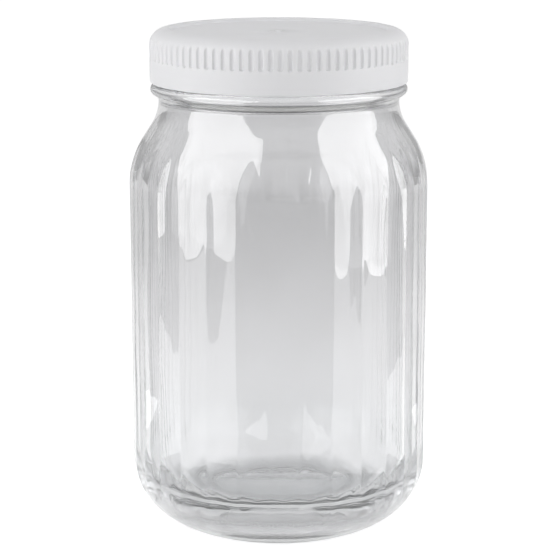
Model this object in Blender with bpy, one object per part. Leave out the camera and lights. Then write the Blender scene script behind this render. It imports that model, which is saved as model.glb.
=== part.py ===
"""A one litre fluted glass storage jar with a white screw lid and the liner inside the lid.

Metres, +Z up. The origin is the centre of the ring that the jar stands on, and every piece is
turned about the Z axis. Heights are measured from the table, unless a comment says otherwise.
"""

import math

import bmesh
import bpy
from mathutils import Vector

# Glass body, outside
BODY_RADIUS = 0.0510
HEEL_WIDTH = 0.0242
HEEL_HEIGHT = 0.0231
HEEL_FOOT_DEG = 82.4
STANDING_RING_WIDTH = 0.0030
PUSH_UP_SLOPE_WIDTH = 0.0030
PUSH_UP_HEIGHT = 0.0030
SHOULDER_START = 0.1185
SHOULDER_ROUND = 0.0298
SHOULDER_STRAIGHT = 0.0056
SHOULDER_STEP = 0.0102
NECK_SWEEP = 0.0159
NECK_LAND = 0.0014

# Flutes pressed into the outside of the body. They run out into the shoulder, from a rise above
# its start, and into the heel, from a drop below its top. The turn share, of one flute's pitch,
# is how far the first ridge lies past the X axis.
FLUTE_COUNT = 30
FLUTE_TURN_SHARE = 0.19
FLUTE_DEPTH = 0.00045
FLUTE_TOP_FADE_RISE = 0.0020
FLUTE_TOP_FADE_HEIGHT = 0.0145
FLUTE_FOOT_FADE_DROP = 0.0019
FLUTE_FOOT_FADE_HEIGHT = 0.0110

# Transfer bead, the rounded ring under the lid
BEAD_REACH = 0.0028
BEAD_HEIGHT = 0.0041

# Finish, the part of the neck that the lid screws onto
FINISH_SETBACK = 0.0009
FINISH_WALL = 0.0022
FINISH_HEIGHT = 0.0134
RIM_ROUND = 0.0007

# Glass body, inside. The inner heel meets the flat floor at a slight edge.
WALL = 0.0030
FLOOR_HEIGHT = 0.0095
INNER_FLOOR_RADIUS = 0.0295
INNER_HEEL_HEIGHT = 0.0215
INNER_HEEL_FOOT_DEG = 78.0

# Screw thread, shared by the jar and the lid. The middle of a ridge starts a rise above the
# bead or above the lid's lower edge, and the jar's ends a drop below the rim.
THREAD_LEAD = 0.0060
THREAD_ROOT_WIDTH = 0.0025
THREAD_CREST_WIDTH = 0.0010
THREAD_SINK = 0.0006
THREAD_FLANK_CLEARANCE = 0.00035
JAR_THREAD_HEIGHT = 0.0016
JAR_THREAD_RISE = 0.0029
JAR_THREAD_DROP = 0.0030
LID_THREAD_RISE = 0.0017
LID_THREAD_CLEARANCE = 0.0005
THREAD_START_SHARE = 0.55
THREAD_RUNOUT_DEG = 27.0

# Lid, one moulded shell that comes down to just over the bead
SEAT_GAP = 0.0003
SKIRT_CLEARANCE = 0.0004
LID_WALL = 0.0018
LID_TOP_THICKNESS = 0.0018
LID_FOOT_GAP = 0.0004
LID_EDGE_ROUND = 0.0005
LID_INNER_ROUND = 0.0015
LID_CORNER_WIDTH = 0.0055
LID_CORNER_HEIGHT = 0.0050
LID_CREST_WIDTH = 0.0012
PANEL_SINK = 0.0012
PANEL_SLOPE_WIDTH = 0.0012
GATE_NUB_RADIUS = 0.0012
GATE_NUB_HEIGHT = 0.0004

# Grip ribs round the lid. The recesses between them are sunk straight into the upper skirt and
# reach down from the foot of the lid's rounded corner. The shares are of one rib's pitch, the
# edges' from the middle of a rib, and the turn share from the X axis to the first rib.
RIB_COUNT = 88
RIB_TURN_SHARE = 0.64
RECESS_DEPTH = 0.0006
RECESS_DROP = 0.0050
RECESS_FOOT_ROUND = 0.0009
RIB_EDGE_SHARE = 0.20
RECESS_EDGE_SHARE = 0.30

# Liner, a foam disc that seals the lid on the rim
LINER_THICKNESS = 0.0012
LINER_EDGE_CLEARANCE = 0.0010
LINER_EDGE_ROUND = 0.00025

# Fineness of the meshes
FLUTE_POINTS = 4
INNER_COLUMNS = 40
NUB_COLUMNS = 22
LINER_COLUMNS = 48
HEEL_STEPS = 6
SHOULDER_STEPS = 5
NECK_STEPS = 3
BEAD_STEPS = 5
ROUND_STEPS = 2
CORNER_STEPS = 4
THREAD_STATIONS_PER_TURN = 45
SHARP_ANGLE_DEG = 35.0


def shoulder_lean():
    """How far the shoulder leans in, in radians.

    The outward round, the straight and the inward sweep have to bridge the step from the body's
    radius to the neck's: rounds * (1 - cos a) + straight * sin a = step, solved for a.
    """
    rounds = SHOULDER_ROUND + NECK_SWEEP
    reach = math.hypot(rounds, SHOULDER_STRAIGHT)
    lean_and_straight = math.acos((rounds - SHOULDER_STEP) / reach)
    return lean_and_straight - math.atan2(SHOULDER_STRAIGHT, rounds)


# Radii and heights that follow from the sizes above
NECK_RADIUS = BODY_RADIUS - SHOULDER_STEP
FINISH_RADIUS = NECK_RADIUS - FINISH_SETBACK
BORE_RADIUS = FINISH_RADIUS - FINISH_WALL
SKIRT_BORE_RADIUS = FINISH_RADIUS + JAR_THREAD_HEIGHT + SKIRT_CLEARANCE
LID_RADIUS = SKIRT_BORE_RADIUS + LID_WALL
SHOULDER_LEAN = shoulder_lean()
NECK_START = (
    SHOULDER_START
    + (SHOULDER_ROUND + NECK_SWEEP) * math.sin(SHOULDER_LEAN)
    + SHOULDER_STRAIGHT * math.cos(SHOULDER_LEAN)
)
BEAD_START = NECK_START + NECK_LAND
BEAD_TOP = BEAD_START + BEAD_HEIGHT
RIM_HEIGHT = BEAD_TOP + FINISH_HEIGHT
LINER_BOTTOM = RIM_HEIGHT + SEAT_GAP
LINER_TOP = LINER_BOTTOM + LINER_THICKNESS
CEILING = LINER_TOP + SEAT_GAP
PANEL_HEIGHT = CEILING + LID_TOP_THICKNESS
LID_TOP = PANEL_HEIGHT + PANEL_SINK
LID_BOTTOM = BEAD_TOP + LID_FOOT_GAP
JAR_THREAD_START = BEAD_TOP + JAR_THREAD_RISE
JAR_THREAD_END = RIM_HEIGHT - JAR_THREAD_DROP


def clear_scene():
    """Removes every object that the scene starts with."""
    for existing in list(bpy.data.objects):
        bpy.data.objects.remove(existing, do_unlink=True)


def make_material(name, colour, roughness, transmission=0.0, ior=1.5):
    """A Principled material of one colour."""
    material = bpy.data.materials.new(name)
    material.use_nodes = True
    shader = material.node_tree.nodes["Principled BSDF"]
    shader.inputs["Base Color"].default_value = (*colour, 1.0)
    shader.inputs["Roughness"].default_value = roughness
    shader.inputs["Metallic"].default_value = 0.0
    shader.inputs["IOR"].default_value = ior
    shader.inputs["Transmission Weight"].default_value = transmission
    material.diffuse_color = (*colour, 1.0)
    return material


def arc(centre, width, height, start_deg, end_deg, steps):
    """Points (radius, height) along an elliptical arc, both ends included."""
    points = []
    for step in range(steps + 1):
        angle = math.radians(start_deg + (end_deg - start_deg) * step / steps)
        across = centre[0] + width * math.cos(angle)
        up = centre[1] + height * math.sin(angle)
        points.append((across, up))
    return points


def round_ring(radius, height, columns):
    """A plain ring, as its height and the (share of the turn, radius) of each point."""
    return height, [(column / columns, radius) for column in range(columns)]


def heel_profile():
    """The outer heel, an elliptical arc from the standing ring up to the straight wall."""
    middle_height = HEEL_HEIGHT * math.sin(math.radians(HEEL_FOOT_DEG))
    centre = (BODY_RADIUS - HEEL_WIDTH, middle_height)
    return arc(centre, HEEL_WIDTH, HEEL_HEIGHT, -HEEL_FOOT_DEG, 0.0, HEEL_STEPS)


def shoulder_profile():
    """The outer shoulder, from the straight wall up to the foot of the neck."""
    lean_deg = math.degrees(SHOULDER_LEAN)
    round_centre = (BODY_RADIUS - SHOULDER_ROUND, SHOULDER_START)
    outward = arc(
        round_centre, SHOULDER_ROUND, SHOULDER_ROUND, 0.0, lean_deg, SHOULDER_STEPS
    )
    sweep_centre = (NECK_RADIUS + NECK_SWEEP, NECK_START)
    inward = arc(
        sweep_centre, NECK_SWEEP, NECK_SWEEP, 180.0 + lean_deg, 180.0, NECK_STEPS
    )
    return outward + inward


def inner_shoulder_profile():
    """The shoulder's inside, from the bore down to the straight wall.

    Each point lies one wall behind the outer profile, along that profile's normal, and the wall
    goes evenly from the body's to the neck's.
    """
    outer = [Vector(point) for point in shoulder_profile()]
    last = len(outer) - 1
    neck_wall = NECK_RADIUS - BORE_RADIUS
    points = []
    for index, point in enumerate(outer):
        along = outer[min(index + 1, last)] - outer[max(index - 1, 0)]
        if index in (0, last):
            along = Vector((0.0, 1.0))
        wall = WALL + (neck_wall - WALL) * index / last
        inner = point + Vector((-along.y, along.x)).normalized() * wall
        points.append((inner.x, inner.y))
    return points[::-1]


def inner_heel_profile():
    """The inner heel, an elliptical arc from the straight wall down to the edge of the floor.

    The arc stops short of its lowest point, so its width follows from the step it has to bridge:
    width * (1 - cos a) = the wall's inner radius less the floor's.
    """
    foot = math.radians(INNER_HEEL_FOOT_DEG)
    width = (BODY_RADIUS - WALL - INNER_FLOOR_RADIUS) / (1.0 - math.cos(foot))
    middle_height = FLOOR_HEIGHT + INNER_HEEL_HEIGHT * math.sin(foot)
    centre = (BODY_RADIUS - WALL - width, middle_height)
    return arc(centre, width, INNER_HEEL_HEIGHT, 0.0, -INNER_HEEL_FOOT_DEG, HEEL_STEPS)


def flute_depth(height, across_share, wall_foot):
    """How deep the flutes are at a height, at a share from 0 to 1 of the way across one.

    The section is a shallow parabola between two ridges. Towards the shoulder and the heel the
    whole section is lifted, so each flute ends in an arch.
    """
    section = 4.0 * across_share * (1.0 - across_share)
    top = SHOULDER_START + FLUTE_TOP_FADE_RISE
    above = (height - top) / FLUTE_TOP_FADE_HEIGHT
    below = (wall_foot - FLUTE_FOOT_FADE_DROP - height) / FLUTE_FOOT_FADE_HEIGHT
    return FLUTE_DEPTH * max(section - max(above, below, 0.0), 0.0)


def bridge(mesh, first, second):
    """Faces between two rings of points, where one may have a multiple of the other's."""
    steps = max(len(first), len(second))
    corner_plan = ((first, 0), (first, 1), (second, 1), (second, 0))
    for step in range(steps):
        corners = []
        for ring, ahead in corner_plan:
            run = steps // len(ring)
            corner = ring[(step + ahead + run // 2) // run % len(ring)]
            if corner not in corners:
                corners.append(corner)
        mesh.faces.new(corners)


def link_mesh(name, mesh, parent, location=(0.0, 0.0, 0.0)):
    """Puts a finished bmesh into the scene as an object under a parent."""
    data = bpy.data.meshes.new(name)
    mesh.to_mesh(data)
    mesh.free()
    solid = bpy.data.objects.new(name, data)
    solid.parent = parent
    solid.location = location
    bpy.context.scene.collection.objects.link(solid)
    return solid


def turned_solid(name, rings, turn, material, place, parent=None, parent_place=0.0):
    """A closed solid made of rings, from the middle underneath to the middle on top or inside.

    The rings run so that their faces look outwards, and the whole is turned by a share of a full
    turn. place is the height of the object's origin.
    """
    mesh = bmesh.new()
    placed = []
    for height, spots in rings:
        ring = []
        for turn_share, radius in spots:
            angle = math.tau * (turn_share + turn)
            across = (radius * math.cos(angle), radius * math.sin(angle))
            ring.append(mesh.verts.new((*across, height - place)))
        placed.append(ring)
    mesh.faces.new(placed[0][::-1])
    for first, second in zip(placed, placed[1:]):
        bridge(mesh, first, second)
    mesh.faces.new(placed[-1])
    solid = link_mesh(name, mesh, parent, (0.0, 0.0, place - parent_place))
    solid.data.materials.append(material)
    solid.data.shade_smooth()
    solid.data.set_sharp_from_angle(angle=math.radians(SHARP_ANGLE_DEG))
    return solid


def add_thread(solid, place, root_radius, reach, start_height, end_height, start_turn):
    """Joins a helical ridge of trapezoid section to a wall by a Boolean union that stays live.

    reach is how far the crest stands from the wall: outwards on the jar, and inwards, so
    negative, in the lid. The ridge sinks back into the wall at both ends.
    """
    sink = math.copysign(THREAD_SINK, reach)
    runout_turns = THREAD_RUNOUT_DEG / math.degrees(math.tau)
    turns = (end_height - start_height) / THREAD_LEAD
    stations = math.ceil(THREAD_STATIONS_PER_TURN * turns)
    mesh = bmesh.new()
    sections = []
    for station in range(stations + 1):
        along = turns * station / stations
        fullness = min(along / runout_turns, (turns - along) / runout_turns, 1.0)
        angle = math.tau * (start_turn + along)
        middle = start_height + THREAD_LEAD * along - place
        crest = root_radius + reach * fullness - sink * (1.0 - fullness) / 2
        corners = (
            (root_radius - sink, -THREAD_ROOT_WIDTH / 2),
            (crest, -THREAD_CREST_WIDTH / 2),
            (crest, THREAD_CREST_WIDTH / 2),
            (root_radius - sink, THREAD_ROOT_WIDTH / 2),
        )
        section = []
        for radius, rise in corners:
            across = (radius * math.cos(angle), radius * math.sin(angle))
            section.append(mesh.verts.new((*across, middle + rise)))
        sections.append(section)
    for first, second in zip(sections, sections[1:]):
        bridge(mesh, first, second)
    mesh.faces.new(sections[0])
    mesh.faces.new(sections[-1])
    bmesh.ops.recalc_face_normals(mesh, faces=mesh.faces)
    ridge = link_mesh(solid.name + "_thread", mesh, solid)
    ridge.hide_render = True
    ridge.display_type = "WIRE"
    union = solid.modifiers.new("thread", "BOOLEAN")
    union.operation = "UNION"
    union.solver = "EXACT"
    union.object = ridge


def make_jar(material):
    """The glass jar: fluted body, shoulder, transfer bead, threaded finish and open bore."""
    columns = FLUTE_COUNT * FLUTE_POINTS
    heel = heel_profile()
    wall_foot = heel[-1][1]
    ring_inner_radius = heel[0][0] - STANDING_RING_WIDTH
    push_up_radius = ring_inner_radius - PUSH_UP_SLOPE_WIDTH
    rings = [round_ring(push_up_radius, PUSH_UP_HEIGHT, columns)]
    rings.append(round_ring(ring_inner_radius, 0.0, columns))
    for radius, height in heel + shoulder_profile():
        spots = []
        for column in range(columns):
            across_share = column % FLUTE_POINTS / FLUTE_POINTS
            depth = flute_depth(height, across_share, wall_foot)
            spots.append((column / columns, radius - depth))
        rings.append((height, spots))

    bead_centre = (NECK_RADIUS, BEAD_START + BEAD_HEIGHT / 2)
    bead = arc(bead_centre, BEAD_REACH, BEAD_HEIGHT / 2, -90.0, 90.0, BEAD_STEPS)
    outer_round = (FINISH_RADIUS - RIM_ROUND, RIM_HEIGHT - RIM_ROUND)
    rim_outside = arc(outer_round, RIM_ROUND, RIM_ROUND, 0.0, 90.0, ROUND_STEPS)
    for radius, height in bead + [(FINISH_RADIUS, BEAD_TOP)] + rim_outside:
        rings.append(round_ring(radius, height, columns))

    inner_round = (BORE_RADIUS + RIM_ROUND, RIM_HEIGHT - RIM_ROUND)
    rim_inside = arc(inner_round, RIM_ROUND, RIM_ROUND, 90.0, 180.0, ROUND_STEPS)
    for radius, height in rim_inside + inner_shoulder_profile() + inner_heel_profile():
        rings.append(round_ring(radius, height, INNER_COLUMNS))

    jar = turned_solid("glass_jar", rings, FLUTE_TURN_SHARE / FLUTE_COUNT, material, 0.0)
    add_thread(
        jar,
        0.0,
        FINISH_RADIUS,
        JAR_THREAD_HEIGHT,
        JAR_THREAD_START,
        JAR_THREAD_END,
        THREAD_START_SHARE,
    )


def make_lid(material, axis, axis_height):
    """The lid: a shell with a ribbed skirt, a rounded crest, a sunk panel and a thread inside."""
    corner_foot = LID_TOP - LID_CORNER_HEIGHT
    crest_radius = LID_RADIUS - LID_CORNER_WIDTH
    recess_radius = LID_RADIUS - RECESS_DEPTH
    recess_foot = corner_foot - RECESS_DROP
    # The recesses run straight up until the corner's round meets them.
    meeting = math.acos((recess_radius - crest_radius) / LID_CORNER_WIDTH)
    recess_top = corner_foot + LID_CORNER_HEIGHT * math.sin(meeting)

    ceiling_round = (SKIRT_BORE_RADIUS - LID_INNER_ROUND, CEILING - LID_INNER_ROUND)
    inside = arc(ceiling_round, LID_INNER_ROUND, LID_INNER_ROUND, 90.0, 0.0, ROUND_STEPS)
    edge_height = LID_BOTTOM + LID_EDGE_ROUND
    inner_edge = (SKIRT_BORE_RADIUS + LID_EDGE_ROUND, edge_height)
    outer_edge = (LID_RADIUS - LID_EDGE_ROUND, edge_height)
    inside += arc(inner_edge, LID_EDGE_ROUND, LID_EDGE_ROUND, 180.0, 270.0, ROUND_STEPS)
    inside += arc(outer_edge, LID_EDGE_ROUND, LID_EDGE_ROUND, -90.0, 0.0, ROUND_STEPS)
    rings = [round_ring(radius, height, RIB_COUNT) for radius, height in inside]

    edge_shares = (
        RIB_EDGE_SHARE,
        RECESS_EDGE_SHARE,
        1.0 - RECESS_EDGE_SHARE,
        1.0 - RIB_EDGE_SHARE,
    )
    for crest, recess, height in (
        (LID_RADIUS, LID_RADIUS, recess_foot),
        (LID_RADIUS, recess_radius, recess_foot + RECESS_FOOT_ROUND),
        (LID_RADIUS, recess_radius, corner_foot),
        (recess_radius, recess_radius, recess_top),
    ):
        spots = []
        for rib in range(RIB_COUNT):
            for share, radius in zip(edge_shares, (crest, recess, recess, crest)):
                spots.append(((rib + share) / RIB_COUNT, radius))
        rings.append((height, spots))

    corner_centre = (crest_radius, corner_foot)
    corner = arc(
        corner_centre,
        LID_CORNER_WIDTH,
        LID_CORNER_HEIGHT,
        math.degrees(meeting),
        90.0,
        CORNER_STEPS,
    )
    panel_edge = crest_radius - LID_CREST_WIDTH
    top = corner[1:] + [(panel_edge, LID_TOP)]
    top.append((panel_edge - PANEL_SLOPE_WIDTH, PANEL_HEIGHT))
    rings += [round_ring(radius, height, RIB_COUNT) for radius, height in top]
    rings.append(round_ring(GATE_NUB_RADIUS, PANEL_HEIGHT, NUB_COLUMNS))
    nub_top = PANEL_HEIGHT + GATE_NUB_HEIGHT
    rings.append(round_ring(GATE_NUB_RADIUS, nub_top, NUB_COLUMNS))

    turn = RIB_TURN_SHARE / RIB_COUNT
    lid = turned_solid("screw_lid", rings, turn, material, LID_BOTTOM, axis, axis_height)
    # The lid's ridge lies on the jar's helix, moved down until its upper flank clears the jar's
    # lower one. Half-way up its flanks a ridge is as wide as the mean of its root and crest.
    mean_width = (THREAD_ROOT_WIDTH + THREAD_CREST_WIDTH) / 2
    below = mean_width + THREAD_FLANK_CLEARANCE
    thread_start = LID_BOTTOM + LID_THREAD_RISE
    start_turn = THREAD_START_SHARE + (thread_start + below - JAR_THREAD_START) / THREAD_LEAD
    add_thread(
        lid,
        LID_BOTTOM,
        SKIRT_BORE_RADIUS,
        LID_THREAD_CLEARANCE - (SKIRT_BORE_RADIUS - FINISH_RADIUS),
        thread_start,
        JAR_THREAD_END - below,
        start_turn,
    )


def make_liner(material, axis, axis_height):
    """The liner: a thin disc with rounded edges, between the jar's rim and the lid's ceiling."""
    round_middle = SKIRT_BORE_RADIUS - LINER_EDGE_CLEARANCE - LINER_EDGE_ROUND
    low = (round_middle, LINER_BOTTOM + LINER_EDGE_ROUND)
    high = (round_middle, LINER_TOP - LINER_EDGE_ROUND)
    edge = arc(low, LINER_EDGE_ROUND, LINER_EDGE_ROUND, -90.0, 0.0, ROUND_STEPS)
    edge += arc(high, LINER_EDGE_ROUND, LINER_EDGE_ROUND, 0.0, 90.0, ROUND_STEPS)
    rings = [round_ring(radius, height, LINER_COLUMNS) for radius, height in edge]
    turned_solid("lid_liner", rings, 0.0, material, LINER_BOTTOM, axis, axis_height)


def main():
    """Builds the three pieces. The lid and its liner hang on an empty on the screw's axis."""
    clear_scene()
    glass = make_material("soda_lime_glass", (0.93, 0.96, 0.95), 0.02, 1.0, 1.52)
    plastic = make_material("white_polypropylene", (0.86, 0.86, 0.85), 0.35)
    foam = make_material("polyethylene_foam", (0.90, 0.90, 0.88), 0.60)
    axis = bpy.data.objects.new("screw_axis", None)
    axis.location = (0.0, 0.0, RIM_HEIGHT)
    bpy.context.scene.collection.objects.link(axis)
    make_jar(glass)
    make_lid(plastic, axis, RIM_HEIGHT)
    make_liner(foam, axis, RIM_HEIGHT)


main()
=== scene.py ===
# %% [markdown]
# # A fluted glass storage jar with a white screw lid
#
# The real thing is a one litre jar of pressed and blown soda-lime glass. Thirty shallow flutes
# run down its body, a rounded ring of glass sits under the lid, and the lid is one moulded
# shell of white polypropylene with grip ribs and a thin foam liner in it. This lesson dresses
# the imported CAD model: it loads it as a fixed frame, and puts a finer surface in the place of
# each of its three solids, because clear glass shows every facet of a coarse mesh.

# %% Load the frame
import math

import bpy
import numpy as np
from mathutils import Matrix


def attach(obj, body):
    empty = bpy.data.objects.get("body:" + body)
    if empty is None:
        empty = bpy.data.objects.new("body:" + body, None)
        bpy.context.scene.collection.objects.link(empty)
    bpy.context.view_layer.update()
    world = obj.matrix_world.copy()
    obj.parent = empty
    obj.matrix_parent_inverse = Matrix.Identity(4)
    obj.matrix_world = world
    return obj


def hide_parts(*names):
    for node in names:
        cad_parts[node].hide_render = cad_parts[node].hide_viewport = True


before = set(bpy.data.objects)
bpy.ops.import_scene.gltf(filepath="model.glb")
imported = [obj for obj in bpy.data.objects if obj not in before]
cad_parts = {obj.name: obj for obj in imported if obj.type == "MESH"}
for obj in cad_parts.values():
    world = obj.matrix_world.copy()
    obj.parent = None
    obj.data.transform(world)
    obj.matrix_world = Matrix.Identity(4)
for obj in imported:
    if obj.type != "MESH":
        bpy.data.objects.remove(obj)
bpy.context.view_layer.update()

# %% [markdown]
# Nearly everything here is turned, as on a lathe, and then marked by flutes, ribs or a thread.
# A Screw modifier could turn a profile, but it can't vary the radius round the turn. So each
# piece is one grid of points, rows along its profile and columns round the axis, whose radius
# and height are worked out as whole arrays. One helper skins such a grid.

# %% Skin a grid of points
MM = 0.001


def turned_surface(name, radius, height, angle):
    """Skins a closed surface turned round the Z axis.

    radius, height and angle are arrays of rows by columns. The point in row i and column j is
    (radius cos angle, radius sin angle, height). Each four neighbours make a face, the last
    column joins the first, and a point on the axis closes each end. Faces look outwards when
    the rows run from the middle underneath, up the outside, to the middle on top or inside.
    """
    rows, columns = radius.shape
    grid = np.stack([radius * np.cos(angle), radius * np.sin(angle), height], axis=-1)
    poles = np.zeros((2, 3))
    poles[:, 2] = height[[0, -1]].mean(axis=1)
    points = np.concatenate([grid.reshape(-1, 3), poles])
    row = np.arange(rows - 1)[:, None] * columns
    column = np.arange(columns)[None, :]
    ahead = (column + 1) % columns
    quads = np.stack([row + column, row + ahead, row + columns + ahead, row + columns + column])
    quads = quads.reshape(4, -1).T
    low = np.stack([np.full(columns, rows * columns), ahead[0], column[0]], axis=-1)
    top = (rows - 1) * columns
    high = np.stack([np.full(columns, rows * columns + 1), top + column[0], top + ahead[0]], -1)
    corners = np.concatenate([quads.ravel(), low.ravel(), high.ravel()])
    starts = np.concatenate([np.arange(len(quads)) * 4, quads.size + np.arange(2 * columns) * 3])
    mesh = bpy.data.meshes.new(name)
    mesh.vertices.add(len(points))
    mesh.vertices.foreach_set("co", points.ravel())
    mesh.loops.add(len(corners))
    mesh.loops.foreach_set("vertex_index", corners.astype(np.int32))
    mesh.polygons.add(len(starts))
    mesh.polygons.foreach_set("loop_start", starts.astype(np.int32))
    mesh.update(calc_edges=True)
    mesh.validate()
    mesh.shade_smooth()
    piece = bpy.data.objects.new(name, mesh)
    bpy.context.scene.collection.objects.link(piece)
    print(f"{name}: {len(starts) + len(quads)} triangles")
    return piece


# %% [markdown]
# A profile is a chain of straight runs and elliptical arcs in the plane of radius and height.
# Each stretch says how many rows it gets, so that the rows lie close where the form is small.

# %% Runs and arcs of a profile
def run(start, end, steps):
    """Points from start to end in even steps, without the end."""
    share = np.arange(steps)[:, None] / steps
    return np.array(start) * (1 - share) + np.array(end) * share


def arc(centre, across, up, start_deg, end_deg, steps):
    """Points centre + (across cos a, up sin a), a going from one angle to the other, both in."""
    a = np.radians(np.linspace(start_deg, end_deg, steps + 1))
    return np.stack([centre[0] + across * np.cos(a), centre[1] + up * np.sin(a)], axis=-1)


def soft_floor(value, softness):
    """The value where it is above zero and zero where it is below, with a rounded corner."""
    return (value + np.sqrt(value * value + softness * softness)) / 2


def smooth_share(value):
    """0 below zero, 1 above one, and the curve 3v^2 - 2v^3 between them."""
    v = np.clip(value, 0, 1)
    return v * v * (3 - 2 * v)


# %% [markdown]
# ## The glass
#
# The outside of the jar comes first: a push-up under the base, the ring it stands on, a round
# heel, a straight body, and a shoulder that leans in and sweeps up to the neck. The numbers are
# the sizes of the CAD model, in metres. The shoulder's lean follows from its two rounds and the
# step that they bridge. The push-up is drawn as a soft dome, because through the thick floor a
# sharp edge under the base would show as a bright ring.

# %% Sizes of the jar
BODY_RADIUS = 51.0 * MM
HEEL_WIDTH = 24.2 * MM
HEEL_HEIGHT = 23.1 * MM
HEEL_FOOT_DEG = 82.4
SHOULDER_START = 118.5 * MM
SHOULDER_ROUND = 29.8 * MM
SHOULDER_STRAIGHT = 5.6 * MM
SHOULDER_STEP = 10.2 * MM
NECK_SWEEP = 15.9 * MM
NECK_LAND = 1.4 * MM
BEAD_REACH = 2.8 * MM
BEAD_HEIGHT = 4.1 * MM
FINISH_HEIGHT = 13.4 * MM
WALL = 3.0 * MM
FLOOR_HEIGHT = 9.5 * MM
INNER_FLOOR_RADIUS = 29.5 * MM
INNER_HEEL_HEIGHT = 21.5 * MM
INNER_FOOT_DEG = 78.0
RING_WIDTH = 3.0 * MM
PUSH_UP = 3.0 * MM
FINISH_STEP = 0.9 * MM
FINISH_WALL = 2.2 * MM
RIM_ROUND = 0.7 * MM

neck_radius = BODY_RADIUS - SHOULDER_STEP
finish_radius = neck_radius - FINISH_STEP
bore_radius = finish_radius - FINISH_WALL
rounds = SHOULDER_ROUND + NECK_SWEEP
lean = math.acos((rounds - SHOULDER_STEP) / math.hypot(rounds, SHOULDER_STRAIGHT))
lean -= math.atan2(SHOULDER_STRAIGHT, rounds)
neck_start = SHOULDER_START + rounds * math.sin(lean) + SHOULDER_STRAIGHT * math.cos(lean)
bead_start = neck_start + NECK_LAND
bead_top = bead_start + BEAD_HEIGHT
rim_height = bead_top + FINISH_HEIGHT
print(f"neck at {neck_start / MM:.1f} mm, bead top {bead_top / MM:.1f}, rim {rim_height / MM:.1f}")

# %% [markdown]
# The outside runs from the middle of the base to the rim. Its first row is a small circle that
# the skin closes to a point.

# %% Profile of the outside
POLE_RADIUS = 2 * MM

lean_deg = math.degrees(lean)
heel_middle = HEEL_HEIGHT * math.sin(math.radians(HEEL_FOOT_DEG))
heel_centre = (BODY_RADIUS - HEEL_WIDTH, heel_middle)
heel = arc(heel_centre, HEEL_WIDTH, HEEL_HEIGHT, -HEEL_FOOT_DEG, 0, 30)
ring_outer = heel[0, 0]
ring_inner = ring_outer - RING_WIDTH
dome_radius = np.linspace(POLE_RADIUS, ring_inner, 24)[:-1]
push_up = np.stack([dome_radius, PUSH_UP * (1 - (dome_radius / ring_inner) ** 2) ** 1.5], axis=-1)
ring = run((ring_inner, 0), (ring_outer, 0), 9)
round_centre = (BODY_RADIUS - SHOULDER_ROUND, SHOULDER_START)
outward = arc(round_centre, SHOULDER_ROUND, SHOULDER_ROUND, 0, lean_deg, 26)
sweep_centre = (neck_radius + NECK_SWEEP, neck_start)
inward = arc(sweep_centre, NECK_SWEEP, NECK_SWEEP, 180 + lean_deg, 180, 8)
shoulder = np.concatenate([outward, inward])
wall_up = run(heel[-1], shoulder[0], 16)[1:]
bead_centre = (neck_radius, bead_start + BEAD_HEIGHT / 2)
bead = arc(bead_centre, BEAD_REACH, BEAD_HEIGHT / 2, -90, 90, 12)
finish = run((finish_radius, bead_top), (finish_radius, rim_height - RIM_ROUND), 32)
outer_rim = arc((finish_radius - RIM_ROUND, rim_height - RIM_ROUND), RIM_ROUND, RIM_ROUND, 0, 90, 3)
outside = np.concatenate([push_up, ring, heel, wall_up, shoulder, bead[1:], finish, outer_rim])
print(f"outside: {len(outside)} rows, ring {ring_inner / MM:.1f} to {ring_outer / MM:.1f} mm from the axis")

# %% [markdown]
# The inside follows the shoulder at the wall's thickness, measured square to the outside. That
# direction is the profile's slope, turned by a quarter. Below, it has a heel of its own, because
# the blown hollow is rounder than the mould, which leaves the foot thick.

# %% Profile of the inside
INNER_POLE_RADIUS = 3 * MM

inner_rim = arc((bore_radius + RIM_ROUND, rim_height - RIM_ROUND), RIM_ROUND, RIM_ROUND, 90, 180, 3)
along = np.gradient(shoulder, axis=0)
along[[0, -1]] = (0, 1)
along /= np.linalg.norm(along, axis=1)[:, None]
wall = np.linspace(WALL, neck_radius - bore_radius, len(shoulder))[:, None]
inner_shoulder = (shoulder + np.stack([-along[:, 1], along[:, 0]], axis=-1) * wall)[::-2]
foot = math.radians(INNER_FOOT_DEG)
inner_heel_width = (BODY_RADIUS - WALL - INNER_FLOOR_RADIUS) / (1 - math.cos(foot))
inner_heel_middle = FLOOR_HEIGHT + INNER_HEEL_HEIGHT * math.sin(foot)
inner_heel_centre = (BODY_RADIUS - WALL - inner_heel_width, inner_heel_middle)
inner_heel = arc(inner_heel_centre, inner_heel_width, INNER_HEEL_HEIGHT, 0, -INNER_FOOT_DEG, 18)
wall_down = run(inner_shoulder[-1], inner_heel[0], 12)[1:]
inner_floor = run((INNER_FLOOR_RADIUS, FLOOR_HEIGHT), (INNER_POLE_RADIUS, FLOOR_HEIGHT), 12)[1:]
inside = np.concatenate([inner_rim, inner_shoulder, wall_down, inner_heel, inner_floor])
print(f"inside: {len(inside)} rows, floor {FLOOR_HEIGHT / MM:.1f} mm up")

# %% [markdown]
# The flutes are pressed into the outside only. Across one, the depth is a shallow hollow between
# two rounded ridges. Near the shoulder and the heel the whole section is lifted out of the glass,
# so that each flute runs out in an arch, which is how the real ones end. Towards the shoulder the
# flutes grow deeper, which breaks the highlights there into lobes. The columns crowd at the
# ridges, because the surface turns fastest there.

# %% Columns of the grid, and where the flutes lie
FLUTES = 30
FLUTE_TURN_SHARE = 0.19
COLUMNS_PER_FLUTE = 16
CROWDING = 0.55

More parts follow.
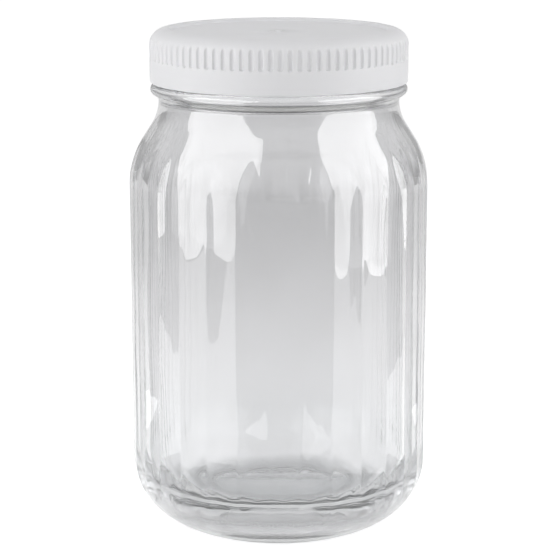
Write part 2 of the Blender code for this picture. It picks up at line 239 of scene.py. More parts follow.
steps = np.arange(FLUTES * COLUMNS_PER_FLUTE)
share = steps % COLUMNS_PER_FLUTE / COLUMNS_PER_FLUTE
share = share - CROWDING * np.sin(2 * np.pi * share) / (2 * np.pi)
turns = (steps // COLUMNS_PER_FLUTE + share + FLUTE_TURN_SHARE) / FLUTES
turn_angle = 2 * np.pi * turns[None, :]
print(f"{FLUTES} flutes, {2 * math.pi * BODY_RADIUS / FLUTES / MM:.1f} mm apart, {len(steps)} columns")

# %% Depth of the flutes
FLUTE_DEPTH = 0.45 * MM
DEEPER_AT_SHOULDER = 0.45
DEEPER_FROM, DEEPER_OVER = 75 * MM, 40 * MM
RISE_BEFORE_FADE, SHOULDER_FADE = 2 * MM, 14.5 * MM
HEEL_FADE_START, HEEL_FADE = 21 * MM, 11 * MM
RIDGE_ROUND = 0.05
RUN_OUT_ROUND = 0.03
ROUND_REMAINDER = 0.0002


def flute_depth(height, across):
    """How far the flutes lie behind the ridge circle.

    With t the distance from the ridge as a share of half a flute, rounded near zero, the section
    is 1 - (1 - t)^2. From that is taken how far the height is past where the flutes begin to
    fade, as a share of the fade. What is left above zero is scaled by the depth, which grows by
    a share from the middle of the body to the shoulder.
    """
    distance = 1 - np.abs(2 * across - 1)
    t = np.sqrt(distance**2 + RIDGE_ROUND**2) - RIDGE_ROUND
    t = t / (math.hypot(1, RIDGE_ROUND) - RIDGE_ROUND)
    section = 1 - (1 - t) ** 2
    above = (height - SHOULDER_START - RISE_BEFORE_FADE) / SHOULDER_FADE
    below = (HEEL_FADE_START - height) / HEEL_FADE
    lift = np.maximum(np.maximum(above, below), 0)
    depth = FLUTE_DEPTH * (1 + DEEPER_AT_SHOULDER * smooth_share((height - DEEPER_FROM) / DEEPER_OVER))
    return depth * np.maximum(soft_floor(section - lift, RUN_OUT_ROUND) - ROUND_REMAINDER, 0)


middle_of_flute = flute_depth(np.array([30, 70, 115, 130]) * MM, 0.5)
print("flute depth at 30, 70, 115 and 130 mm:", np.round(middle_of_flute / MM, 2), "mm")


# %% [markdown]
# Blown glass is never true. The mould leaves the outside within a tenth of a millimetre, and the
# inside, which only air has touched, wanders by up to a third. Those slow waves are what makes
# reflections ripple, so they belong in the mesh. A few sine waves of fixed, seeded phase
# round the turn and along the profile give them. Much finer waves round the turn, less than two
# hundredths of a millimetre high, are the streaks that break a highlight into upright lines.

# %% Waves in the glass
def waves(angle, along, size, turns_list, lengths, seed):
    """The size over the root of the number of waves, times the sum of them.

    Each wave is sin(turns angle + p) cos(2 pi along / length + q), with p and q at random.
    """
    random = np.random.default_rng(seed)
    total = 0
    for turns_round, length in zip(turns_list, lengths):
        p, q = random.uniform(0, 2 * np.pi, 2)
        total = total + np.sin(turns_round * angle + p) * np.cos(2 * np.pi * along / length + q)
    return size * total / math.sqrt(len(lengths))


# %% [markdown]
# The screw thread is one ridge that climbs round the finish, the neck above the bead. It is a
# function of two parameters as well: the height of a point over the helix beneath it. The ridge
# sinks into the wall at both ends.

# %% Thread
THREAD_LEAD = 6.0 * MM
THREAD_START_SHARE = 0.55
THREAD_REACH = 1.25 * MM
THREAD_FLANK = 0.75 * MM
THREAD_RUN_OUT_DEG = 27


def thread_height(angle, height, start, end, start_turn):
    """How full a helical ridge is at a point, from 0 to 1.

    For each turn the ridge's middle lies at start + lead * (turns past its first angle). The
    ridge reaches a little to each side of that, and its flanks fall smoothly to nothing there.
    """
    turns_in_all = (end - start) / THREAD_LEAD
    past_start = (angle / (2 * np.pi) - start_turn) % 1
    full = 0
    for whole in range(math.ceil(turns_in_all)):
        past = past_start + whole
        from_end = np.minimum(past, turns_in_all - past)
        run_out = np.clip(from_end * 360 / THREAD_RUN_OUT_DEG, 0, 1)
        off = np.abs(height - start - THREAD_LEAD * past)
        full = np.maximum(full, run_out * smooth_share((THREAD_REACH - off) / THREAD_FLANK))
    return full


# %% Outside of the glass
THREAD_HEIGHT = 1.6 * MM
SLOW_WAVE = 0.06 * MM
STREAK = 0.018 * MM
MEAN_OF_WAVES = 0.07 * MM
RIDGE_ABOVE_BEAD, RIDGE_BELOW_RIM = 2.9 * MM, 3.0 * MM
PLAIN_RIM = 0.5 * MM
WAVES_FROM, WAVES_RISE, WAVES_FALL = 6 * MM, 14 * MM, 9 * MM

radius = np.repeat(outside[:, :1], len(steps), axis=1)
height = np.repeat(outside[:, 1:], len(steps), axis=1)
angle = np.repeat(turn_angle, len(outside), axis=0)
radius -= flute_depth(height, share[None, :]) * (radius > ring_outer)
ridge_start = bead_top + RIDGE_ABOVE_BEAD
ridge_end = rim_height - RIDGE_BELOW_RIM
on_finish = (height > bead_top) & (height < rim_height - PLAIN_RIM)
ridge = thread_height(angle, height, ridge_start, ridge_end, THREAD_START_SHARE)
radius += THREAD_HEIGHT * ridge * on_finish
body_share = smooth_share((height - WAVES_FROM) / WAVES_RISE)
body_share *= smooth_share((neck_start - height) / WAVES_FALL)
slow = waves(angle, height, SLOW_WAVE, (2, 5, 9, 3), (0.15, 0.09, 0.06, 0.04), 3)
streak_turns, streak_lengths = (47, 83, 61, 109, 71), (0.11, 0.05, 0.07, 0.035, 0.025)
streaks = waves(angle, height, STREAK, streak_turns, streak_lengths, 5)
radius += body_share * (slow + streaks - MEAN_OF_WAVES)
print(f"radius of the outside: {radius.min() / MM:.2f} to {radius.max() / MM:.2f} mm")

# %% [markdown]
# The ring that the jar stands on is pressed with fine ridges across it, so that the hot jar
# touches the cold conveyor at points only. They are a cosine round the turn, and fade out at
# both edges of the ring.

# %% Ridges across the ring
RING_RIDGES = 120
RING_RIDGE_HEIGHT = 0.25 * MM
RING_EDGE, RING_FADE = 0.2 * MM, 0.6 * MM
ON_TABLE = 0.01 * MM

on_ring = smooth_share((radius - ring_inner - RING_EDGE) / RING_FADE)
on_ring *= smooth_share((ring_outer - RING_EDGE - radius) / RING_FADE) * (height < ON_TABLE)
height += RING_RIDGE_HEIGHT * on_ring * (0.5 - 0.5 * np.cos(RING_RIDGES * angle))
print(f"{RING_RIDGES} ridges, {height[on_ring > 0].max() / MM:.2f} mm high")

# %% Inside of the glass, and the whole body
RIPPLE = 0.16 * MM
CALM_NECK, CALM_FLOOR = 20 * MM, 30 * MM

in_radius = np.repeat(inside[:, :1], len(steps), axis=1)
in_height = np.repeat(inside[:, 1:], len(steps), axis=1)
in_angle = np.repeat(turn_angle, len(inside), axis=0)
calm = smooth_share((neck_start - in_height) / CALM_NECK) * smooth_share(in_radius / CALM_FLOOR)
ripple = waves(in_angle, in_height, RIPPLE, (1, 3, 7, 12, 5), (0.2, 0.11, 0.07, 0.05, 0.03), 8)
in_radius += calm * ripple
glass = turned_surface(
    "fluted_glass_body",
    np.concatenate([radius, in_radius]),
    np.concatenate([height, in_height]),
    np.concatenate([angle, in_angle]),
)
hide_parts("glass_jar")
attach(glass, "jar")

# %% [markdown]
# ## The lid
#
# The lid is injection moulded. Inside it has a flat ceiling and its own thread, outside a skirt
# that ends just over the glass bead, 88 narrow recesses that leave grip ribs between them, a
# rounded corner, and a shallow sunk panel with the small mark of the gate in its middle. The
# recesses are cut straight up, so they fade out where the corner rounds away from them, and
# their lower ends are round, as a ball-nosed cutter leaves them in the mould.

# %% Sizes of the lid
SKIRT_CLEARANCE = 2.0 * MM
SKIRT_ABOVE_BEAD = 0.4 * MM
LID_WALL = 1.8 * MM
LINER_THICKNESS = 1.2 * MM
LINER_GAP = 0.3 * MM
PANEL_SINK = 1.2 * MM
CORNER_WIDTH, CORNER_HEIGHT = 5.5 * MM, 5.0 * MM
RECESS_LENGTH = 5.0 * MM
CREST_WIDTH = 1.2 * MM
INNER_ROUND = 1.5 * MM
EDGE_ROUND = 0.5 * MM
PANEL_ROUND = (0.4 * MM, 0.6 * MM)
PANEL_INNER_RADIUS = 1.5 * MM
NUB_FLAT, NUB_ROUND = 0.9 * MM, (0.35 * MM, 0.4 * MM)

skirt_bore = finish_radius + SKIRT_CLEARANCE
lid_radius = skirt_bore + LID_WALL
lid_bottom = bead_top + SKIRT_ABOVE_BEAD
liner_bottom = rim_height + LINER_GAP
liner_top = liner_bottom + LINER_THICKNESS
ceiling = liner_top + LINER_GAP
panel_height = ceiling + LID_WALL
lid_top = panel_height + PANEL_SINK
corner_foot = lid_top - CORNER_HEIGHT
recess_foot = corner_foot - RECESS_LENGTH
crest_radius = lid_radius - CORNER_WIDTH
panel_edge = crest_radius - CREST_WIDTH
print(f"lid: {lid_bottom / MM:.1f} to {lid_top / MM:.1f} mm up, {2 * lid_radius / MM:.1f} mm across")

# %% [markdown]
# The rows lie close where the lower ends of the recesses are, and the columns close at their two
# flanks. The last arc is the nub that the gate leaves in the middle of the panel.

# %% Profile of the lid
CLOSE_ROWS_BELOW, CLOSE_ROWS_ABOVE = 0.1 * MM, 1.1 * MM

under = run((POLE_RADIUS, ceiling), (skirt_bore - INNER_ROUND, ceiling), 3)
inner_middle = (skirt_bore - INNER_ROUND, ceiling - INNER_ROUND)
inner_round = arc(inner_middle, INNER_ROUND, INNER_ROUND, 90, 0, 5)
edge_height = lid_bottom + EDGE_ROUND
skirt_in = run((skirt_bore, ceiling - INNER_ROUND), (skirt_bore, edge_height), 24)[1:]
edge_in = arc((skirt_bore + EDGE_ROUND, edge_height), EDGE_ROUND, EDGE_ROUND, 180, 270, 3)
edge_out = arc((lid_radius - EDGE_ROUND, edge_height), EDGE_ROUND, EDGE_ROUND, -90, 0, 4)
foot_low, foot_high = recess_foot - CLOSE_ROWS_BELOW, recess_foot + CLOSE_ROWS_ABOVE
skirt_low = run((lid_radius, edge_height), (lid_radius, foot_low), 4)[1:]
skirt_mid = run((lid_radius, foot_low), (lid_radius, foot_high), 9)
skirt_up = run((lid_radius, foot_high), (lid_radius, corner_foot), 3)
corner = arc((crest_radius, corner_foot), CORNER_WIDTH, CORNER_HEIGHT, 0, 90, 18)
crest = run((crest_radius, lid_top), (panel_edge, lid_top), 2)[1:]
panel_radius = panel_edge - 2 * PANEL_ROUND[0]
panel_slope = arc((panel_edge, lid_top - PANEL_ROUND[1]), *PANEL_ROUND, 90, 180, 3)
panel_foot = arc((panel_radius, panel_height + PANEL_ROUND[1]), *PANEL_ROUND, 0, -90, 3)
panel = run((panel_radius, panel_height), (PANEL_INNER_RADIUS, panel_height), 4)[1:]
nub = arc((NUB_FLAT, panel_height), *NUB_ROUND, 0, 90, 3)
lid_line = np.concatenate([
    under, inner_round, skirt_in, edge_in, edge_out, skirt_low, skirt_mid, skirt_up,
    corner, crest, panel_slope, panel_foot, panel, nub,
])
print(f"profile of the lid: {len(lid_line)} rows")

# %% Grip recesses
RIBS = 88
RIB_TURN_SHARE = 0.64
RECESS_DEPTH = 0.6 * MM
RECESS_HALF_SHARE = 0.285
RECESS_DRAFT = 0.32 * MM
rib_shares = np.array([0.0, 0.17, 0.215, 0.26, 0.33, 0.5, 0.67, 0.74, 0.785, 0.83])
rib_turns = (np.arange(RIBS)[:, None] + rib_shares[None, :] + RIB_TURN_SHARE) / RIBS
rib_angle = 2 * np.pi * rib_turns.reshape(1, -1)
rib_pitch = 2 * np.pi * lid_radius / RIBS


def recess_depth(height, across):
    """How deep the grip recesses are at a height, at a share of one rib's pitch.

    Inside is the distance in from the outline, a slot with a half-round lower end. The depth
    grows smoothly to its full value over a draft of a third of a millimetre.
    """
    half_width = RECESS_HALF_SHARE * rib_pitch
    side = np.abs(across - 0.5) * rib_pitch
    below = np.maximum(recess_foot + half_width - height, 0)
    inside_by = half_width - np.hypot(side, below)
    return RECESS_DEPTH * smooth_share(inside_by / RECESS_DRAFT)


lid_angle = np.repeat(rib_angle, len(lid_line), axis=0)
lid_radii = np.repeat(lid_line[:, :1], rib_angle.size, axis=1)
lid_heights = np.repeat(lid_line[:, 1:], rib_angle.size, axis=1)
outer_rows = np.arange(len(lid_line)) >= sum(map(len, (under, inner_round, skirt_in, edge_in)))
cut = lid_radius - recess_depth(lid_heights, np.tile(rib_shares, RIBS)[None, :])
lid_radii = np.where(outer_rows[:, None], np.minimum(lid_radii, cut), lid_radii)
print(f"{RIBS} ribs at a pitch of {rib_pitch / MM:.2f} mm, cut {(lid_radius - cut.min()) / MM:.2f} mm deep")

# %% [markdown]
# The lid's thread hangs under the jar's, a ridge's width and a small gap lower, and starts at the
# angle where the jar's helix has climbed by the same amount. So the two mesh at rest.

# %% Thread inside the lid, and the lid itself
LID_THREAD_HEIGHT = 1.5 * MM
THREAD_PLAY = 0.35 * MM
LID_THREAD_ABOVE_EDGE = 1.7 * MM
LID_THREAD_BELOW_CEILING = 1.4 * MM

below = 2 * THREAD_REACH - THREAD_FLANK + THREAD_PLAY
lid_ridge_start = lid_bottom + LID_THREAD_ABOVE_EDGE
lid_ridge_turn = THREAD_START_SHARE + (lid_ridge_start + below - ridge_start) / THREAD_LEAD
lid_ridge = thread_height(lid_angle, lid_heights, lid_ridge_start, ridge_end - below, lid_ridge_turn)
under_ceiling = (~outer_rows[:, None]) * (lid_heights < ceiling - LID_THREAD_BELOW_CEILING)
lid_radii -= LID_THREAD_HEIGHT * lid_ridge * under_ceiling
lid = turned_surface("ribbed_lid_shell", lid_radii, lid_heights, lid_angle)
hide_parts("screw_lid")
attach(lid, "lid")

# %% [markdown]
# ## The liner
#
# A disc of closed-cell polyethylene foam lies loose in the lid and seals on the rim. It is a
# flat disc with a rounded edge, and the rim has pressed a faint groove into its underside.

# %% Liner
LINER_COLUMNS = 120
LINER_EDGE = 0.3 * MM
LINER_PLAY = 1.0 * MM
GROOVE_DEPTH, GROOVE_WIDTH = 0.15 * MM, 0.9 * MM
FLAT_UNDERSIDE = 0.1 * MM

liner_radius = skirt_bore - LINER_PLAY
liner_angle = 2 * np.pi * np.arange(LINER_COLUMNS)[None, :] / LINER_COLUMNS
flat_radius = liner_radius - LINER_EDGE
liner_under = run((POLE_RADIUS, liner_bottom), (flat_radius, liner_bottom), 40)
edge_middle = (flat_radius, liner_bottom + LINER_THICKNESS / 2)
liner_edge = arc(edge_middle, LINER_EDGE, LINER_THICKNESS / 2, -90, 90, 8)
liner_over = run((flat_radius, liner_top), (POLE_RADIUS, liner_top), 12)[1:]
liner_line = np.concatenate([liner_under, liner_edge, liner_over])
rim_middle = (finish_radius + bore_radius) / 2
groove = np.exp(-(((liner_line[:, 0] - rim_middle) / GROOVE_WIDTH) ** 2))
liner_line[:, 1] += GROOVE_DEPTH * groove * (liner_line[:, 1] < liner_bottom + FLAT_UNDERSIDE)
liner = turned_surface(
    "foam_liner_disc",
    np.repeat(liner_line[:, :1], LINER_COLUMNS, axis=1),
    np.repeat(liner_line[:, 1:], LINER_COLUMNS, axis=1),
    np.repeat(liner_angle, len(liner_line), axis=0),
)
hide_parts("lid_liner")
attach(liner, "liner")

# %% [markdown]
# ## Materials
#
# Colours are written as they look on a screen, and one function turns them to the linear values
# that shaders work in. A second one adds a node with its settings and its links, so that a
# material reads from top to bottom like a recipe. The scale of a noise is how many grains lie in
# a metre, so it is written as grains in a millimetre, over MM.

# %% Helpers for materials
def linear(colour):
    """The linear RGB of an sRGB hex colour such as #E8E8E4, by the sRGB curve."""
    values = np.array([int(colour[i : i + 2], 16) for i in (1, 3, 5)]) / 255
    low, high = values / 12.92, ((values + 0.055) / 1.055) ** 2.4
    return (*np.where(values <= 0.04045, low, high).tolist(), 1.0)


def add_node(tree, kind, settings=None, values=None, links=None):
    """Adds a node, sets its properties and socket values, and links sockets to its inputs."""
    node = tree.nodes.new(kind)
    for name, value in (settings or {}).items():
        setattr(node, name, value)
    for name, value in (values or {}).items():
        node.inputs[name].default_value = value
    for name, source in (links or {}).items():
        tree.links.new(source, node.inputs[name])
    return node


def new_material(name):
    """An empty node material: its node tree, its output node and the material itself."""
    material = bpy.data.materials.new(name)
    material.use_nodes = True
    material.node_tree.nodes.clear()
    return material.node_tree, add_node(material.node_tree, "ShaderNodeOutputMaterial"), material


def fill_ramp(ramp, stops):
    """Gives a colour ramp its stops, pairs of a place from 0 to 1 and a linear colour."""
    elements = ramp.color_ramp.elements
    for count, (place, colour) in enumerate(stops):
        element = elements[0] if count == 0 else elements.new(place)
        element.position, element.color = place, colour
    elements.remove(elements[-1])


# %% [markdown]
# Soda-lime glass, pressed and blown. Its index of refraction is 1.52. The gob leaves slow ripples
# in it, a centimetre or two long, which a fire-polished skin keeps glossy. The ring that the jar
# stands on is scuffed, so it is rough in the lowest millimetre.

# %% Skin of the glass: ripples and scuffs
RIPPLES_PER_MM = 0.055

tree, out, glass_material = new_material("soda_lime_glass_fire_polished")
place = add_node(tree, "ShaderNodeTexCoord")
ripples = add_node(
    tree, "ShaderNodeTexNoise", {},
    {"Scale": RIPPLES_PER_MM / MM, "Detail": 1.5, "Roughness": 0.4},
    {"Vector": place.outputs["Object"]},
)
ripple_bump = add_node(
    tree, "ShaderNodeBump", {}, {"Strength": 0.25, "Distance": 0.4 * MM},
    {"Height": ripples.outputs["Fac"]},
)
heights = add_node(tree, "ShaderNodeSeparateXYZ", links={"Vector": place.outputs["Object"]})
scuff = add_node(
    tree, "ShaderNodeMapRange", {},
    {"From Min": 0.0, "From Max": 1.2 * MM, "To Min": 0.30, "To Max": 0.0},
    {"Value": heights.outputs["Z"]},
)
print("ripples every", round(1 / RIPPLES_PER_MM), "mm")

# %% [markdown]
# A trace of iron in the sand makes the glass faintly grey. That could be left to its volume
# alone, but then the thin wall would be too clear or the thick heel too dark. So each surface
# takes a little off the light as well, by a ramp on the height. That grey is painted shade: it
# stands in for the darker surround seen through the glass. It is darkest at the foot, as painted
# shade of the contact shadow seen through the heel, and a little lighter towards the shoulder.

# %% Grey of the glass, painted shade by height in millimetres
PAINTED_SHADE_TINT_STOPS = (
    (3, "#C3C4C5"), (6, "#EAEAEB"), (24, "#E5E6E7"), (60, "#E5E5E6"), (100, "#E5E5E6"),
    (140, "#ECECED"),
)
TINT_REACH = 170

level = add_node(
    tree, "ShaderNodeMapRange", {}, {"From Min": 0.0, "From Max": TINT_REACH * MM},
    {"Value": heights.outputs["Z"]},
)
tint = add_node(tree, "ShaderNodeValToRGB", {}, {}, {"Fac": level.outputs["Result"]})
fill_ramp(tint, [(at / TINT_REACH, linear(colour)) for at, colour in PAINTED_SHADE_TINT_STOPS])
print("tint from", PAINTED_SHADE_TINT_STOPS[0][1], "at the foot to", PAINTED_SHADE_TINT_STOPS[-1][1], "at the rim")

# %% [markdown]
# The shader is the common Principled one, all transmission. A lamp's light can't find its way
# through bent glass in reasonable time, so for shadow rays the glass is plain and see-through
# instead. It passes less light at the foot, where thick real glass bends much of it aside. The
# volume takes up a little light on the way, which darkens the thick parts most.

# %% Soda-lime glass, fire-polished
glass_shader = add_node(
    tree, "ShaderNodeBsdfPrincipled", {}, {"IOR": 1.52, "Transmission Weight": 1.0},
    {"Base Color": tint.outputs["Color"], "Normal": ripple_bump.outputs["Normal"],
     "Roughness": scuff.outputs["Result"]},
)
thinning = add_node(
    tree, "ShaderNodeMapRange", {},
    {"From Min": 0.0, "From Max": 4 * MM, "To Min": 0.50, "To Max": 0.84},
    {"Value": heights.outputs["Z"]},
)
lamps_through = add_node(
    tree, "ShaderNodeBsdfTransparent", {}, {}, {"Color": thinning.outputs["Result"]}
)
ray = add_node(tree, "ShaderNodeLightPath")
glass_mix = add_node(
    tree, "ShaderNodeMixShader", {}, {},
    {"Fac": ray.outputs["Is Shadow Ray"], 1: glass_shader.outputs[0], 2: lamps_through.outputs[0]},
)
iron = add_node(
    tree, "ShaderNodeVolumeAbsorption", {}, {"Color": linear("#B8BABB"), "Density": 4.5}
)
tree.links.new(glass_mix.outputs[0], out.inputs["Surface"])
tree.links.new(iron.outputs[0], out.inputs["Volume"])
glass.data.materials.append(glass_material)
print(glass_material.name, "on", glass.name)

# %% [markdown]
# White polypropylene, injection moulded from a finely sparked mould. It is a soft, slightly milky
# white with a broad low sheen. The real spark texture is a tenth of a millimetre, too fine for
# the picture, so it is drawn with 2.6 grains in a millimetre. A slow cloud of two close whites
# stands for the flow of the plastic in the mould.

# %% White polypropylene, moulded
SPARKS_PER_MM = 2.6
CLOUDS_PER_MM = 0.06

tree, out, lid_material = new_material("white_polypropylene_moulded")
place = add_node(tree, "ShaderNodeTexCoord")
spark = add_node(
    tree, "ShaderNodeTexNoise", {}, {"Scale": SPARKS_PER_MM / MM, "Detail": 2.0},
    {"Vector": place.outputs["Object"]},
)
spark_bump = add_node(
    tree, "ShaderNodeBump", {}, {"Strength": 0.12, "Distance": 0.08 * MM},
    {"Height": spark.outputs["Fac"]},
)
cloud = add_node(
    tree, "ShaderNodeTexNoise", {}, {"Scale": CLOUDS_PER_MM / MM, "Detail": 3.0},
    {"Vector": place.outputs["Object"]},
)
# Sockets 6 and 7 of a Mix node are the two colours.
white = add_node(
    tree, "ShaderNodeMix", {"data_type": "RGBA"},
    {6: linear("#DEDEE0"), 7: linear("#E2E2E4")}, {"Factor": cloud.outputs["Fac"]},
)
sheen = add_node(
    tree, "ShaderNodeMapRange", {}, {"To Min": 0.60, "To Max": 0.68},
    {"Value": cloud.outputs["Fac"]},
)
lid_shader = add_node(
    tree, "ShaderNodeBsdfPrincipled", {},
    {"IOR": 1.49, "Subsurface Weight": 0.15, "Subsurface Radius": (0.002, 0.002, 0.0018),
     "Subsurface Scale": 1.0, "Specular IOR Level": 0.30},
    {"Base Color": white.outputs[2], "Roughness": sheen.outputs["Result"],
     "Normal": spark_bump.outputs["Normal"]},
)
tree.links.new(lid_shader.outputs[0], out.inputs["Surface"])
lid.data.materials.append(lid_material)
print(lid_material.name, "on", lid.name)

# %% [markdown]
# Closed-cell polyethylene foam. The cells are cut open at the skin, so it is matt, with fine
# pits about 0.7 mm across.

# %% Closed-cell polyethylene foam
PITS_PER_MM = 1.4

tree, out, foam_material = new_material("closed_cell_polyethylene_foam")
place = add_node(tree, "ShaderNodeTexCoord")
cells = add_node(
    tree, "ShaderNodeTexVoronoi", {}, {"Scale": PITS_PER_MM / MM},
    {"Vector": place.outputs["Object"]},
)
cell_bump = add_node(
    tree, "ShaderNodeBump", {}, {"Strength": 0.5, "Distance": 0.1 * MM},
    {"Height": cells.outputs["Distance"]},
)
foam_tone = add_node(
    tree, "ShaderNodeMix", {"data_type": "RGBA"},
    {6: linear("#EDEDEA"), 7: linear("#DEDEDA")}, {"Factor": cells.outputs["Distance"]},
)
foam_shader = add_node(
    tree, "ShaderNodeBsdfPrincipled", {}, {"Roughness": 0.75, "IOR": 1.45},
    {"Base Color": foam_tone.outputs[2], "Normal": cell_bump.outputs["Normal"]},
)
tree.links.new(foam_shader.outputs[0], out.inputs["Surface"])
liner.data.materials.append(foam_material)
print(foam_material.name, "on", liner.name)

# %% [markdown]
# ## The studio
#
# A plain pale floor and a white surround. To the camera both are white. Clear glass has hardly
# any look of its own: it shows what stands round it. In front of an even white it would vanish,
# so a photographer lets the white fall off towards the horizon. Gloss and glass see that here:
# the surround is white overhead and darker low down, and the floor's glow, a painted pool of
# light, dies away from the jar.
# Both depend only on height and on distance from the jar's axis, so they are the same from all
# sides. One helper picks the level by the kind of ray.

# %% Level by kind of ray
def level_by_ray(tree, to_camera, in_glass, elsewhere):
    """A strength: to_camera for camera rays, in_glass for gloss and glass, elsewhere for the rest.

    in_glass is a socket and the other two are numbers. Sockets 2 and 3 of a Mix node are what it
    gives at a factor of 0 and of 1.
    """
    path = add_node(tree, "ShaderNodeLightPath")
    either = add_node(
        tree, "ShaderNodeMath", {"operation": "MAXIMUM"}, {},
        {0: path.outputs["Is Glossy Ray"], 1: path.outputs["Is Transmission Ray"]},
    )
    unseen = add_node(
        tree, "ShaderNodeMix", {}, {2: elsewhere}, {"Factor": either.outputs[0], 3: in_glass}
    )
    seen = add_node(
        tree, "ShaderNodeMix", {}, {3: to_camera},
        {"Factor": path.outputs["Is Camera Ray"], 2: unseen.outputs[0]},
    )
    return seen.outputs[0]


def grey_stops(pairs, reach):
    """Stops of a ramp from pairs of a distance and a grey level, over a reach."""
    return [(distance / reach, (level, level, level, 1)) for distance, level in pairs]


# %% White surround
SURROUND_LIGHT = 0.56
SURROUND_IN_GLASS = ((0.0, 0.42), (0.08, 0.45), (0.24, 0.85), (0.40, 1.0))

world = bpy.data.worlds.new("white_surround")
bpy.context.scene.world = world
world.use_nodes = True
tree = world.node_tree
tree.nodes.clear()
direction = add_node(tree, "ShaderNodeTexCoord")
upward = add_node(tree, "ShaderNodeSeparateXYZ", links={"Vector": direction.outputs["Generated"]})
above_horizon = add_node(tree, "ShaderNodeMapRange", {}, {}, {"Value": upward.outputs["Z"]})
wall_ramp = add_node(tree, "ShaderNodeValToRGB", {}, {}, {"Fac": above_horizon.outputs["Result"]})
fill_ramp(wall_ramp, grey_stops(SURROUND_IN_GLASS, 1.0))
sky_strength = level_by_ray(tree, 1.0, wall_ramp.outputs["Color"], SURROUND_LIGHT)
sky = add_node(
    tree, "ShaderNodeBackground", {}, {"Color": (1, 1, 1, 1)}, {"Strength": sky_strength}
)
add_node(tree, "ShaderNodeOutputWorld", {}, {}, {"Surface": sky.outputs[0]})
print("surround in glass:", SURROUND_IN_GLASS[0][1], "at the horizon,", SURROUND_IN_GLASS[-1][1], "above")

# %% [markdown]
# The floor is white paper. A glow that only the camera sees lifts it to white and leaves the
# shadow in it. In glass its level is read from the distance to the jar's axis, in metres: a
# painted pool of light, brightest within 0.2 m of the jar and dimmest about 0.7 m out. Right
# under the foot it is lower, a painted contact shadow, as where the jar touches the paper and no
# light gets in.

# %% Floor
FLOOR_REACH = 6.0
FLOOR_DROP = 0.2 * MM
FLOOR_GLOW = 0.56
# Painted light and shade seen in glass: a pool of glow round the jar, and a darker painted contact-shadow
# ring 28.5 to 32.5 mm out.
PAINTED_FLOOR_GLOW_IN_GLASS = (
    (0.0, 0.46), (0.022, 0.46), (0.0285, 0.20), (0.0325, 0.20), (0.037, 0.46), (0.20, 0.46),
    (0.30, 0.38), (0.40, 0.29), (0.50, 0.21), (0.70, 0.19), (0.90, 0.31), (1.6, 0.28),
)
RAMP_REACH = 2.0

floor_mesh = bpy.data.meshes.new("studio_floor")
corner_signs = np.array([(-1, -1, 0), (1, -1, 0), (1, 1, 0), (-1, 1, 0)])
floor_mesh.from_pydata((corner_signs * FLOOR_REACH).tolist(), [], [(0, 1, 2, 3)])
floor_plane = bpy.data.objects.new("studio_floor", floor_mesh)
floor_plane.location.z = -FLOOR_DROP
bpy.context.scene.collection.objects.link(floor_plane)
tree, out, floor_material = new_material("white_paper_sweep")
floor_place = add_node(tree, "ShaderNodeTexCoord")
from_jar = add_node(
    tree, "ShaderNodeVectorMath", {"operation": "LENGTH"}, {}, {0: floor_place.outputs["Object"]}
)
distance_share = add_node(
    tree, "ShaderNodeMapRange", {}, {"From Max": RAMP_REACH}, {"Value": from_jar.outputs["Value"]}
)
floor_ramp = add_node(tree, "ShaderNodeValToRGB", {}, {}, {"Fac": distance_share.outputs["Result"]})
fill_ramp(floor_ramp, grey_stops(PAINTED_FLOOR_GLOW_IN_GLASS, RAMP_REACH))
floor_shader = add_node(
    tree, "ShaderNodeBsdfPrincipled", {},
    {"Base Color": linear("#F2F2F2"), "Roughness": 0.9, "Specular IOR Level": 0.0,
     "Emission Color": (1, 1, 1, 1)},
    {"Emission Strength": level_by_ray(tree, FLOOR_GLOW, floor_ramp.outputs["Color"], 0.0)},
)
tree.links.new(floor_shader.outputs[0], out.inputs["Surface"])
floor_mesh.materials.append(floor_material)
print("floor in glass:", PAINTED_FLOOR_GLOW_IN_GLASS[0][1], "at the jar,", PAINTED_FLOOR_GLOW_IN_GLASS[-1][1], "far off")

# %% [markdown]
# Two tall soft boxes stand to the left and the right of the camera, for the long bright
# reflections in the glass. Each is two lamps in nearly one place: one for gloss, and a weaker one
# for what glass shows, so that a jar in front of a box isn't burnt out. Two cards on the floor
# carry the reflection on from a box's foot towards the jar, as dimmer bands down the glass.
# Wider lamps light the plastic at a plain level. They stand a little off the others, because
# lamps in exactly one place take light from each other.

# %% Lamps
def soft_box(name, azimuth, distance, foot, size, lean_deg, radiance, seen, shape="RECTANGLE"):
    """A flat soft box whose foot is a distance from the jar's axis and whose top leans over it.

    azimuth is counted from the camera's side, positive to the right. radiance is how bright its
    face is, where 1 is white: an area lamp's power is pi times its area times its radiance.
    seen says what it lights: matt surfaces, gloss, or what glass shows.
    """
    light = bpy.data.lights.new(name, "AREA")
    light.shape = shape
    light.size, light.size_y = size
    area = size[0] * size[1] * (math.pi / 4 if shape == "ELLIPSE" else 1)
    light.energy = math.pi * area * radiance
    lamp = bpy.data.objects.new(name, light)
    turn, tilt = math.radians(azimuth), math.radians(lean_deg)
    out_by = distance - size[1] / 2 * math.sin(tilt)
    middle = foot + size[1] / 2 * math.cos(tilt)
    lamp.location = (out_by * math.sin(turn), -out_by * math.cos(turn), middle)
    lamp.rotation_euler = (math.radians(90) - tilt, 0, turn)
    lamp.visible_camera = False
    lamp.visible_diffuse = seen == "on_matt"
    lamp.visible_glossy = seen == "in_gloss"
    lamp.visible_transmission = seen == "in_glass"
    bpy.context.scene.collection.objects.link(lamp)
    print(f"{name}: {light.energy:.2f} W")


LEFT_BOX, RIGHT_BOX = (0.47, 0.64), (0.56, 0.87)
GLOSS_LEVEL, GLASS_LEVEL = 5.0, 1.9
FLAT_ON_FLOOR = -90

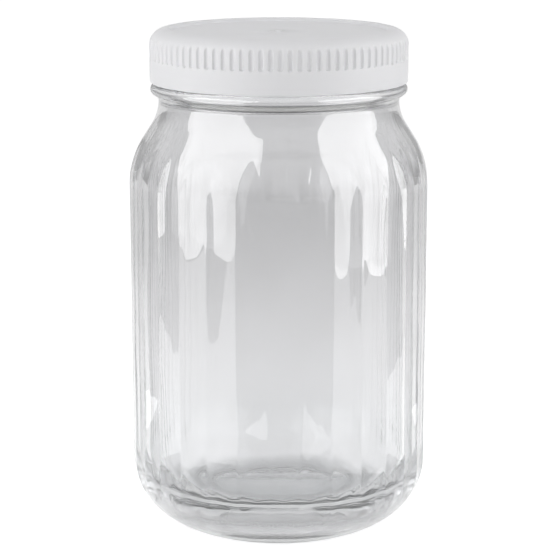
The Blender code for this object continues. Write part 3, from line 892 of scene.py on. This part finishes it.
soft_box("left_soft_box", -60, 0.50, 0.008, LEFT_BOX, 23.7, GLOSS_LEVEL, "in_gloss")
soft_box("left_soft_box_in_glass", -60, 0.51, 0.008, LEFT_BOX, 23.7, GLASS_LEVEL, "in_glass")
soft_box("right_soft_box", 70, 0.50, -0.07, RIGHT_BOX, 8, GLOSS_LEVEL, "in_gloss", "ELLIPSE")
soft_box("right_soft_box_in_glass", 70, 0.51, -0.07, RIGHT_BOX, 8, GLASS_LEVEL, "in_glass", "ELLIPSE")
soft_box("left_soft_box_on_matt", -68, 0.60, 0.01, (0.51, 0.64), 15, 1.14, "on_matt")
soft_box("right_soft_box_on_matt", 78, 0.60, 0.02, (0.60, 0.70), 10, 0.88, "on_matt")
soft_box("front_soft_box_on_matt", 0, 1.30, 0.01, (1.0, 0.9), 10, 0.48, "on_matt")
soft_box("left_floor_card", -62, 0.12, 0.006, (0.26, 0.385), FLAT_ON_FLOOR, 2.0, "in_gloss")
soft_box("right_floor_card", 66, 0.12, 0.002, (0.26, 0.385), FLAT_ON_FLOOR, 1.7, "in_gloss")

# %% [markdown]
# ## The camera
#
# The camera stands about 0.7 m in front of the jar's axis and looks down by 12.5 degrees through
# a long lens. The jar's middle lies a pixel left of the picture's middle, which is the shift.

# %% Camera
CAMERA_DISTANCE = 0.6955
CAMERA_HEIGHT = 0.2387
LOOKS_DOWN_DEG = 12.497

camera_data = bpy.data.cameras.new("camera")
camera_data.sensor_width = 36.0
camera_data.lens = 132.5
camera_data.shift_x = 0.0019
camera_data.clip_start = 0.01
camera = bpy.data.objects.new("camera", camera_data)
camera.location = (0.0, -CAMERA_DISTANCE, CAMERA_HEIGHT)
camera.rotation_euler = (math.radians(90 - LOOKS_DOWN_DEG), 0.0, 0.0)
bpy.context.scene.collection.objects.link(camera)
bpy.context.scene.camera = camera
bpy.context.scene.view_settings.view_transform = "Standard"
print(f"camera {CAMERA_DISTANCE} m off and {CAMERA_HEIGHT} m up, {camera_data.lens} mm lens")

# %% [markdown]
# In the thick heel light is thrown from side to side within the glass many times before it gets
# out. Where the bounces run out the glass turns black, so they are many.

# %% Bounces
BOUNCES = 160

cycles = bpy.context.scene.cycles
cycles.max_bounces = BOUNCES
cycles.transmission_bounces = BOUNCES
cycles.glossy_bounces = BOUNCES
cycles.transparent_max_bounces = 24
print("bounces:", cycles.max_bounces)
